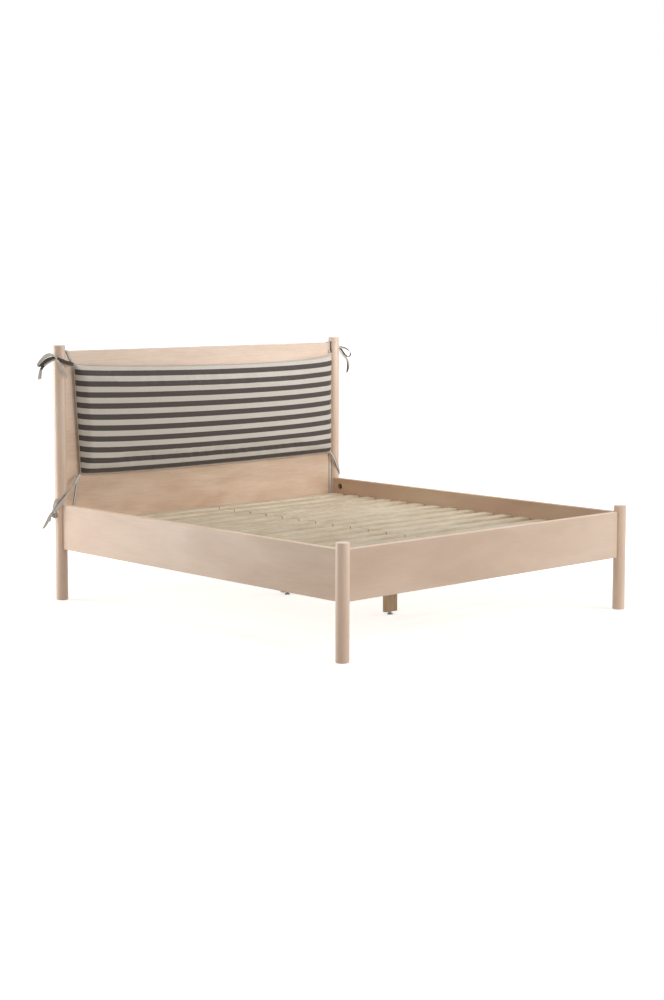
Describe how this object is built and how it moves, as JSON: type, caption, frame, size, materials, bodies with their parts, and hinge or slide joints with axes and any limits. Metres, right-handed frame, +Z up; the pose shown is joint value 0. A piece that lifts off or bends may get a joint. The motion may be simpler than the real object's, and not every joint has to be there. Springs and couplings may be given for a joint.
{
  "type": "double platform bed with slats and tied headboard pad",
  "caption": "Wooden double bed with round corner posts, plain rails, slatted deck on a centre beam with levelling feet, and a headboard panel with a striped pad tied to it.",
  "frame": {"origin": "on the floor, in the middle of the bed between its four posts", "axes": "+X to the right as seen from the foot, +Y from the foot to the head, +Z up"},
  "size_m": [2.1217, 2.1534, 1.281],
  "materials": {
    "frame_wood": "clear matt lacquer on pale beech or birch",
    "panel_wood": "clear matt lacquer",
    "slat_wood": "planed, bare",
    "hidden_wood": "planed, bare",
    "zinc_steel": "zinc plated",
    "striped_fabric": "plain woven cotton in broad dark grey and light grey-beige stripes",
    "tie_fabric": "flat tapes sewn from the same striped cotton"
  },
  "bodies": {
    "bed": {"head_post_left": "frame_wood", "head_post_right": "frame_wood", "foot_post_left": "frame_wood", "foot_post_right": "frame_wood", "headboard_panel": "panel_wood", "side_rail_left": "frame_wood", "side_rail_right": "frame_wood", "foot_rail": "frame_wood", "ledger_left": "hidden_wood", "ledger_right": "hidden_wood", "centre_beam": "hidden_wood", "beam_hanger_head": "zinc_steel", "beam_hanger_foot": "zinc_steel", "centre_leg_front": "hidden_wood", "centre_leg_rear": "hidden_wood", "leg_brackets": "zinc_steel", "leg_inserts": "zinc_steel", "rail_bolts": "zinc_steel", "crescent_washers": "zinc_steel", "rail_nuts": "zinc_steel", "rail_dowels": "hidden_wood", "panel_dowels": "hidden_wood", "ledger_screws": "zinc_steel", "slat_screws": "zinc_steel", "hanger_screws": "zinc_steel", "bracket_screws": "zinc_steel", "headboard_pad": "striped_fabric", "tie_top_left": "tie_fabric", "tie_top_right": "tie_fabric", "tie_bottom_left": "tie_fabric", "tie_bottom_right": "tie_fabric", "slat_row_01": "slat_wood", "slat_row_02": "slat_wood", "slat_row_03": "slat_wood", "slat_row_04": "slat_wood", "slat_row_05": "slat_wood", "slat_row_06": "slat_wood", "slat_row_07": "slat_wood", "slat_row_08": "slat_wood", "slat_row_09": "slat_wood", "slat_row_10": "slat_wood", "slat_row_11": "slat_wood", "slat_row_12": "slat_wood", "slat_row_13": "slat_wood", "slat_row_14": "slat_wood", "slat_row_15": "slat_wood", "slat_row_16": "slat_wood"},
    "foot_pad_front": {"levelling_pad_front": "zinc_steel"},
    "foot_stud_front": {"levelling_stud_front": "zinc_steel"},
    "foot_pad_rear": {"levelling_pad_rear": "zinc_steel"},
    "foot_stud_rear": {"levelling_stud_rear": "zinc_steel"}
  },
  "joints": [
    {"name": "front_foot_height", "type": "slide", "parent": "bed", "child": "foot_pad_front", "axis": [0, 0, -1], "range_m": [-0.005, 0.012]},
    {"name": "front_foot_turn", "type": "hinge", "parent": "foot_pad_front", "child": "foot_stud_front", "pos_m": [0, -0.376, 0], "axis": [0, 0, -1], "range_deg": [-1584, 3600]},
    {"name": "rear_foot_height", "type": "slide", "parent": "bed", "child": "foot_pad_rear", "axis": [0, 0, -1], "range_m": [-0.005, 0.012]},
    {"name": "rear_foot_turn", "type": "hinge", "parent": "foot_pad_rear", "child": "foot_stud_rear", "pos_m": [0, 0.376, 0], "axis": [0, 0, -1], "range_deg": [-1584, 3600]}
  ],
  "couplings": [
    {"joint": "front_foot_turn", "follows": "front_foot_height", "rad_per_m": 5026.5},
    {"joint": "rear_foot_turn", "follows": "rear_foot_height", "rad_per_m": 5026.5}
  ]
}
